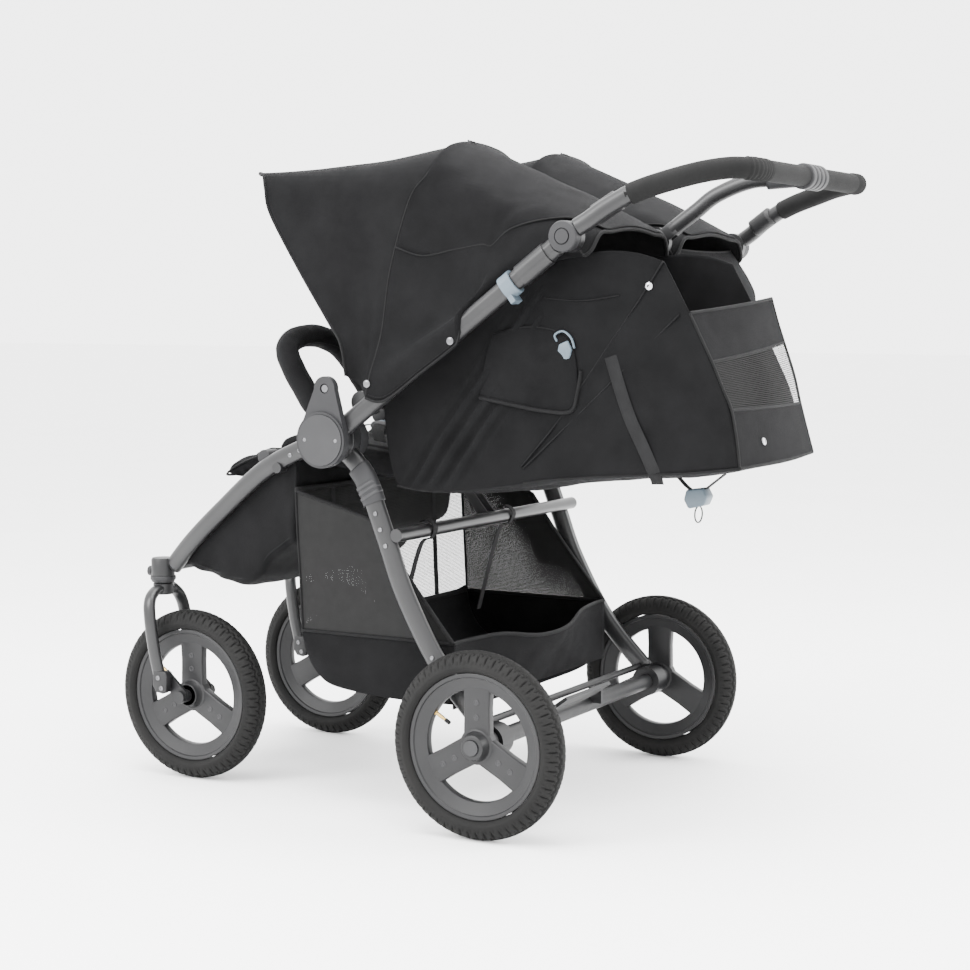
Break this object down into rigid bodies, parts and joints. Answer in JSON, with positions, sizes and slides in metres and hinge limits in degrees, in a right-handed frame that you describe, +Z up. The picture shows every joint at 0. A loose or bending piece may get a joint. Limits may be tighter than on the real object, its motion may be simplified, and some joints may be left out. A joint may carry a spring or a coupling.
{
  "type": "jogging stroller",
  "caption": "Folding side-by-side double stroller with air-filled wheels, canopies, reclining seats, a basket and an adjustable handlebar.",
  "frame": {"origin": "on the ground, in the middle of the stroller's width and length", "axes": "+Z up, +Y towards the handlebar, +X to the seated child's left"},
  "size_m": [0.75, 1.2401, 1.105],
  "materials": {
    "frame_paint": "satin, powder coated",
    "hub_plastic": "fine moulded grain",
    "trigger_plastic": "satin",
    "cloth": "woven, matte",
    "mesh_cloth": "open mesh, matte",
    "grip_foam": "foam, matte",
    "tyre_rubber": "air tyre, matte with tread",
    "rim_plastic": "satin, moulded",
    "screw_steel": "blackened"
  },
  "bodies": {
    "frame": {"front_legs": "frame_paint", "front_cross": "frame_paint", "hub_casing_left": "hub_plastic", "hub_casing_right": "hub_plastic", "hub_caps": "hub_plastic", "centre_hub": "hub_plastic", "seat_base_left": "cloth", "seat_base_right": "cloth", "footwell": "cloth", "basket_tray": "cloth", "basket_mesh": "mesh_cloth", "frame_screws": "screw_steel"},
    "push_frame": {"push_tube_left": "frame_paint", "push_tube_right": "frame_paint", "push_tube_centre": "frame_paint", "side_wings": "cloth", "canopy_rear_left": "cloth", "canopy_rear_right": "cloth"},
    "handle": {"handlebar": "frame_paint", "handle_grip": "grip_foam"},
    "rear_frame": {"rear_legs": "frame_paint", "rear_cross": "frame_paint", "rear_axle": "frame_paint"},
    "pedal": {"brake_pedal": "hub_plastic"},
    "fold_trigger_left": {"fold_trigger_left": "trigger_plastic"},
    "handle_button_left": {"handle_button_left": "trigger_plastic"},
    "brake_pin_left": {"brake_pin_left": "screw_steel"},
    "rear_wheel_left": {"tyre_rear_left": "tyre_rubber", "rim_rear_left": "rim_plastic"},
    "quick_release_left": {"quick_release_left": "hub_plastic"},
    "front_fork_left": {"fork_left": "frame_paint"},
    "trailing_arm_left": {"fork_arm_left": "hub_plastic"},
    "front_wheel_left": {"tyre_front_left": "tyre_rubber", "rim_front_left": "rim_plastic"},
    "swivel_lock_left": {"swivel_lock_left": "hub_plastic"},
    "canopy_mid_left": {"canopy_bow_left": "frame_paint", "canopy_front_left": "cloth"},
    "canopy_visor_left": {"canopy_brim_left": "frame_paint"},
    "seat_back_left": {"seat_back_left": "cloth", "seat_boot_left": "cloth"},
    "bumper_bar_left": {"bumper_bar_left": "cloth"},
    "calf_rest_left": {"calf_rest_left": "cloth"},
    "fold_trigger_right": {"fold_trigger_right": "trigger_plastic"},
    "handle_button_right": {"handle_button_right": "trigger_plastic"},
    "brake_pin_right": {"brake_pin_right": "screw_steel"},
    "rear_wheel_right": {"tyre_rear_right": "tyre_rubber", "rim_rear_right": "rim_plastic"},
    "quick_release_right": {"quick_release_right": "hub_plastic"},
    "front_fork_right": {"fork_right": "frame_paint"},
    "trailing_arm_right": {"fork_arm_right": "hub_plastic"},
    "front_wheel_right": {"tyre_front_right": "tyre_rubber", "rim_front_right": "rim_plastic"},
    "swivel_lock_right": {"swivel_lock_right": "hub_plastic"},
    "canopy_mid_right": {"canopy_bow_right": "frame_paint", "canopy_front_right": "cloth"},
    "canopy_visor_right": {"canopy_brim_right": "frame_paint"},
    "seat_back_right": {"seat_back_right": "cloth", "seat_boot_right": "cloth"},
    "bumper_bar_right": {"bumper_bar_right": "cloth"},
    "calf_rest_right": {"calf_rest_right": "cloth"}
  },
  "joints": [
    {"name": "frame_fold", "type": "hinge", "parent": "frame", "child": "push_frame", "pos_m": [0, -0.10106, 0.627], "axis": [1, 0, 0], "range_deg": [0, 126], "deforming": ["side_wings", "basket_mesh", "canopy_rear_left", "canopy_rear_right"]},
    {"name": "rear_fold", "type": "hinge", "parent": "frame", "child": "rear_frame", "pos_m": [0, -0.10106, 0.627], "axis": [1, 0, 0], "range_deg": [-50, 0]},
    {"name": "handle_tilt", "type": "hinge", "parent": "push_frame", "child": "handle", "pos_m": [0, 0.33406, 0.95015], "axis": [1, 0, 0], "range_deg": [-45, 15]},
    {"name": "brake_press", "type": "hinge", "parent": "rear_frame", "child": "pedal", "pos_m": [0, 0.20994, 0.176], "axis": [-1, 0, 0], "range_deg": [0, 20]},
    {"name": "trigger_slide_left", "type": "slide", "parent": "push_frame", "child": "fold_trigger_left", "axis": [0, 0.8028, 0.5962], "range_m": [0, 0.012], "stiffness_N_per_m": 400, "springref_m": -0.01},
    {"name": "handle_press_left", "type": "slide", "parent": "handle", "child": "handle_button_left", "axis": [-1, 0, 0], "range_m": [0, 0.0025], "stiffness_N_per_m": 800, "springref_m": -0.003},
    {"name": "brake_pin_slide_left", "type": "slide", "parent": "rear_frame", "child": "brake_pin_left", "axis": [1, 0, 0], "range_m": [0, 0.0075]},
    {"name": "rear_spin_left", "type": "hinge", "parent": "rear_frame", "child": "rear_wheel_left", "pos_m": [0.348, 0.18894, 0.152], "axis": [1, 0, 0], "continuous": true},
    {"name": "release_press_left", "type": "slide", "parent": "rear_wheel_left", "child": "quick_release_left", "axis": [-1, 0, 0], "range_m": [0, 0.0025], "stiffness_N_per_m": 800, "springref_m": -0.003},
    {"name": "swivel_left", "type": "hinge", "parent": "frame", "child": "front_fork_left", "pos_m": [0.22, -0.53506, 0.3], "axis": [0, 0, 1], "continuous": true},
    {"name": "suspension_left", "type": "hinge", "parent": "front_fork_left", "child": "trailing_arm_left", "pos_m": [0.22, -0.50106, 0.182], "axis": [1, 0, 0], "range_deg": [0, 10], "stiffness_Nm_per_rad": 40, "springref_deg": -8.59},
    {"name": "front_spin_left", "type": "hinge", "parent": "trailing_arm_left", "child": "front_wheel_left", "pos_m": [0.22, -0.46806, 0.152], "axis": [1, 0, 0], "continuous": true},
    {"name": "swivel_lock_pull_left", "type": "slide", "parent": "frame", "child": "swivel_lock_left", "axis": [0, -1, 0], "range_m": [0, 0.006], "stiffness_N_per_m": 500, "springref_m": -0.004},
    {"name": "canopy_swing_left", "type": "hinge", "parent": "push_frame", "child": "canopy_mid_left", "pos_m": [0.16, -0.04506, 0.689], "axis": [1, 0, 0], "range_deg": [-66, 0]},
    {"name": "canopy_fold_left", "type": "hinge", "parent": "canopy_mid_left", "child": "canopy_visor_left", "pos_m": [0.16, -0.04506, 0.689], "axis": [1, 0, 0], "range_deg": [-42, 0], "deforming": ["canopy_front_left"]},
    {"name": "recline_left", "type": "hinge", "parent": "push_frame", "child": "seat_back_left", "pos_m": [0.158, -0.01606, 0.565], "axis": [1, 0, 0], "range_deg": [0, 41], "deforming": ["seat_boot_left"]},
    {"name": "bumper_swing_left", "type": "hinge", "parent": "frame", "child": "bumper_bar_left", "pos_m": [0.16, -0.16706, 0.653], "axis": [1, 0, 0], "range_deg": [0, 50]},
    {"name": "calf_tilt_left", "type": "hinge", "parent": "frame", "child": "calf_rest_left", "pos_m": [0.13, -0.28306, 0.586], "axis": [1, 0, 0], "range_deg": [-15, 40]},
    {"name": "trigger_slide_right", "type": "slide", "parent": "push_frame", "child": "fold_trigger_right", "axis": [0, 0.8028, 0.5962], "range_m": [0, 0.012], "stiffness_N_per_m": 400, "springref_m": -0.01},
    {"name": "handle_press_right", "type": "slide", "parent": "handle", "child": "handle_button_right", "axis": [1, 0, 0], "range_m": [0, 0.0025], "stiffness_N_per_m": 800, "springref_m": -0.003},
    {"name": "brake_pin_slide_right", "type": "slide", "parent": "rear_frame", "child": "brake_pin_right", "axis": [-1, 0, 0], "range_m": [0, 0.0075]},
    {"name": "rear_spin_right", "type": "hinge", "parent": "rear_frame", "child": "rear_wheel_right", "pos_m": [-0.348, 0.18894, 0.152], "axis": [1, 0, 0], "continuous": true},
    {"name": "release_press_right", "type": "slide", "parent": "rear_wheel_right", "child": "quick_release_right", "axis": [1, 0, 0], "range_m": [0, 0.0025], "stiffness_N_per_m": 800, "springref_m": -0.003},
    {"name": "swivel_right", "type": "hinge", "parent": "frame", "child": "front_fork_right", "pos_m": [-0.22, -0.53506, 0.3], "axis": [0, 0, 1], "continuous": true},
    {"name": "suspension_right", "type": "hinge", "parent": "front_fork_right", "child": "trailing_arm_right", "pos_m": [-0.22, -0.50106, 0.182], "axis": [1, 0, 0], "range_deg": [0, 10], "stiffness_Nm_per_rad": 40, "springref_deg": -8.59},
    {"name": "front_spin_right", "type": "hinge", "parent": "trailing_arm_right", "child": "front_wheel_right", "pos_m": [-0.22, -0.46806, 0.152], "axis": [1, 0, 0], "continuous": true},
    {"name": "swivel_lock_pull_right", "type": "slide", "parent": "frame", "child": "swivel_lock_right", "axis": [0, -1, 0], "range_m": [0, 0.006], "stiffness_N_per_m": 500, "springref_m": -0.004},
    {"name": "canopy_swing_right", "type": "hinge", "parent": "push_frame", "child": "canopy_mid_right", "pos_m": [-0.16, -0.04506, 0.689], "axis": [1, 0, 0], "range_deg": [-66, 0]},
    {"name": "canopy_fold_right", "type": "hinge", "parent": "canopy_mid_right", "child": "canopy_visor_right", "pos_m": [-0.16, -0.04506, 0.689], "axis": [1, 0, 0], "range_deg": [-42, 0], "deforming": ["canopy_front_right"]},
    {"name": "recline_right", "type": "hinge", "parent": "push_frame", "child": "seat_back_right", "pos_m": [-0.158, -0.01606, 0.565], "axis": [1, 0, 0], "range_deg": [-41, 0], "deforming": ["seat_boot_right"]},
    {"name": "bumper_swing_right", "type": "hinge", "parent": "frame", "child": "bumper_bar_right", "pos_m": [-0.16, -0.16706, 0.653], "axis": [1, 0, 0], "range_deg": [0, 50]},
    {"name": "calf_tilt_right", "type": "hinge", "parent": "frame", "child": "calf_rest_right", "pos_m": [-0.13, -0.28306, 0.586], "axis": [1, 0, 0], "range_deg": [-15, 40]}
  ],
  "couplings": [
    {"joint": "rear_fold", "follows": "frame_fold", "ratio": -0.39682},
    {"joint": "brake_pin_slide_left", "follows": "brake_press", "m_per_rad": 0.021486},
    {"joint": "canopy_swing_left", "follows": "frame_fold", "ratio": -0.52381},
    {"joint": "bumper_swing_left", "follows": "frame_fold", "ratio": 0.39682},
    {"joint": "brake_pin_slide_right", "follows": "brake_press", "m_per_rad": 0.021486},
    {"joint": "canopy_swing_right", "follows": "frame_fold", "ratio": -0.52381},
    {"joint": "bumper_swing_right", "follows": "frame_fold", "ratio": 0.39682}
  ]
}
